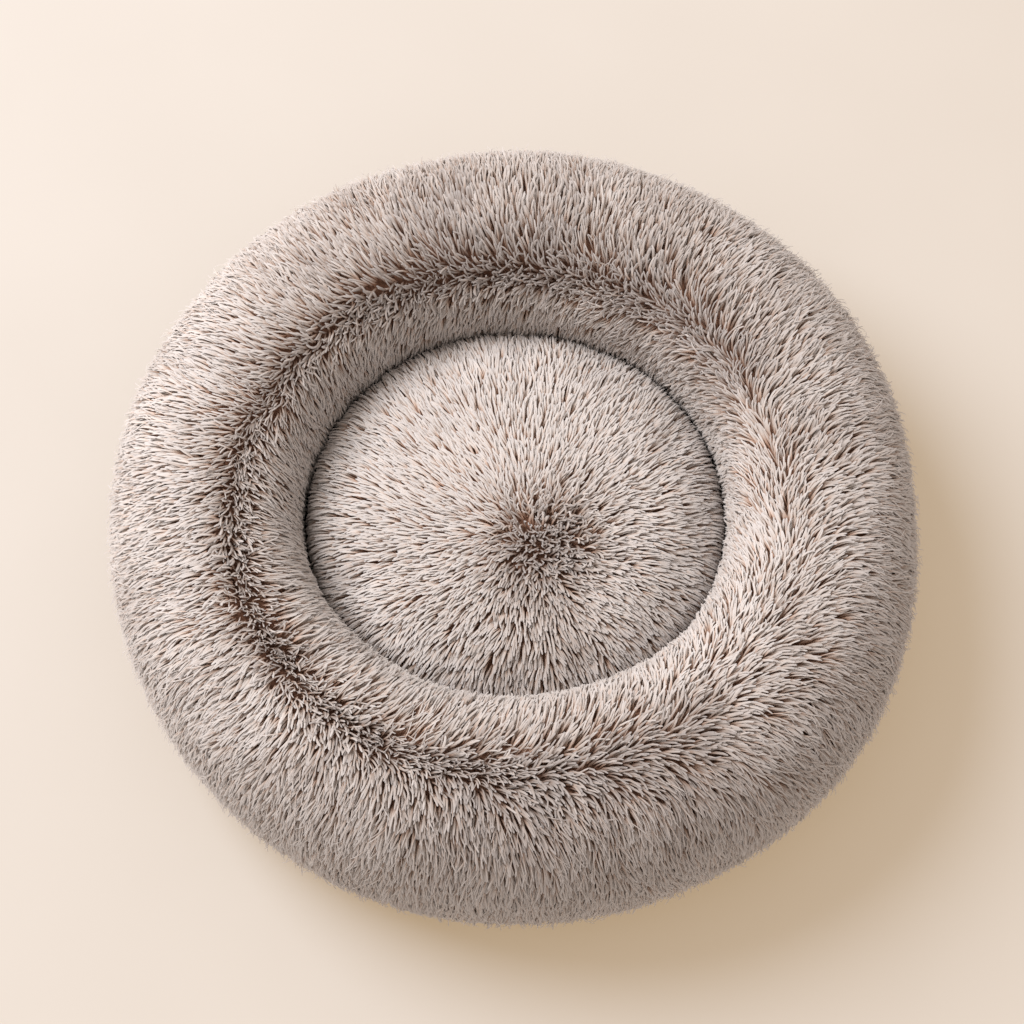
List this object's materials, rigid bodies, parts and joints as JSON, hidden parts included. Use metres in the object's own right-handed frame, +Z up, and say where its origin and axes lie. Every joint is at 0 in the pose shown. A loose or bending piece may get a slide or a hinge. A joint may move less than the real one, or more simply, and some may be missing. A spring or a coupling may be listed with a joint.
{
  "type": "pet cushion bed",
  "caption": "Round pet bed in long shag plush: a stuffed ring rim round a sunken cushion that lifts out, on a flat non-slip base with a zip.",
  "frame": {"origin": "middle of the underside, on the surface that the bed stands on", "axes": "+Z up, -Y towards the front, +X to the right seen from the front; the zips are at the back (+Y)"},
  "size_m": [0.6, 0.6, 0.158],
  "materials": {
    "plush": "long shag faux fur, pale tips over dark brown roots",
    "bag": "white spun non-woven",
    "filling": "white hollow-fibre wadding",
    "base_fabric": "dark woven non-slip fabric with small raised dots",
    "lining": "plain woven polyester",
    "binding": "folded woven tape",
    "label": "blank satin tape",
    "zip_tape": "fine woven tape",
    "zip_teeth": "moulded nylon coil",
    "zip_metal": "satin lacquered zinc"
  },
  "bodies": {
    "bed": {"rim_outer_plush_panel": "plush", "rim_inner_plush_panel": "plush", "rim_inner_bag": "bag", "rim_filling": "filling", "base_panel": "base_fabric", "base_seam_binding": "binding", "well_floor_panel": "lining", "well_seam_binding": "binding", "care_label": "label", "base_zip_tape_outer": "zip_tape", "base_zip_tape_inner": "zip_tape", "base_zip_teeth_outer": "zip_teeth", "base_zip_teeth_inner": "zip_teeth", "base_zip_top_stop_outer": "zip_metal", "base_zip_top_stop_inner": "zip_metal", "base_zip_bottom_stop": "zip_metal"},
    "base_slider": {"base_zip_slider": "zip_metal"},
    "base_pull": {"base_zip_pull": "zip_metal"},
    "cushion": {"cushion_plush_cover": "plush", "cushion_underside_panel": "lining", "cushion_piping": "binding", "cushion_inner_bag": "bag", "cushion_filling": "filling", "cushion_zip_tape_outer": "zip_tape", "cushion_zip_tape_inner": "zip_tape", "cushion_zip_teeth_outer": "zip_teeth", "cushion_zip_teeth_inner": "zip_teeth", "cushion_zip_top_stop_outer": "zip_metal", "cushion_zip_top_stop_inner": "zip_metal", "cushion_zip_bottom_stop": "zip_metal"},
    "cushion_slider": {"cushion_zip_slider": "zip_metal"},
    "cushion_pull": {"cushion_zip_pull": "zip_metal"}
  },
  "joints": [
    {"name": "cushion_lift", "type": "slide", "parent": "bed", "child": "cushion", "axis": [0, 0, 1], "range_m": [0, 0.2]},
    {"name": "base_zip_run", "type": "hinge", "parent": "bed", "child": "base_slider", "pos_m": [0, 0, 0.0046], "axis": [0, 0, 1], "range_deg": [0, 77.5]},
    {"name": "base_pull_swing", "type": "hinge", "parent": "base_slider", "child": "base_pull", "pos_m": [0.15362, 0.19086, 0.00175], "axis": [-0.627, -0.779, 0], "range_deg": [0, 175]},
    {"name": "cushion_zip_run", "type": "hinge", "parent": "cushion", "child": "cushion_slider", "pos_m": [0, 0, 0.0122], "axis": [0, 0, 1], "range_deg": [0, 94.5]},
    {"name": "cushion_pull_swing", "type": "hinge", "parent": "cushion_slider", "child": "cushion_pull", "pos_m": [0.0825, 0.07575, 0.00935], "axis": [-0.7366, -0.6763, 0], "range_deg": [0, 175]}
  ],
  "couplings": [
    {"joint": "cushion_pull_swing", "follows": "cushion_lift", "rad_per_m": 15.27}
  ]
}
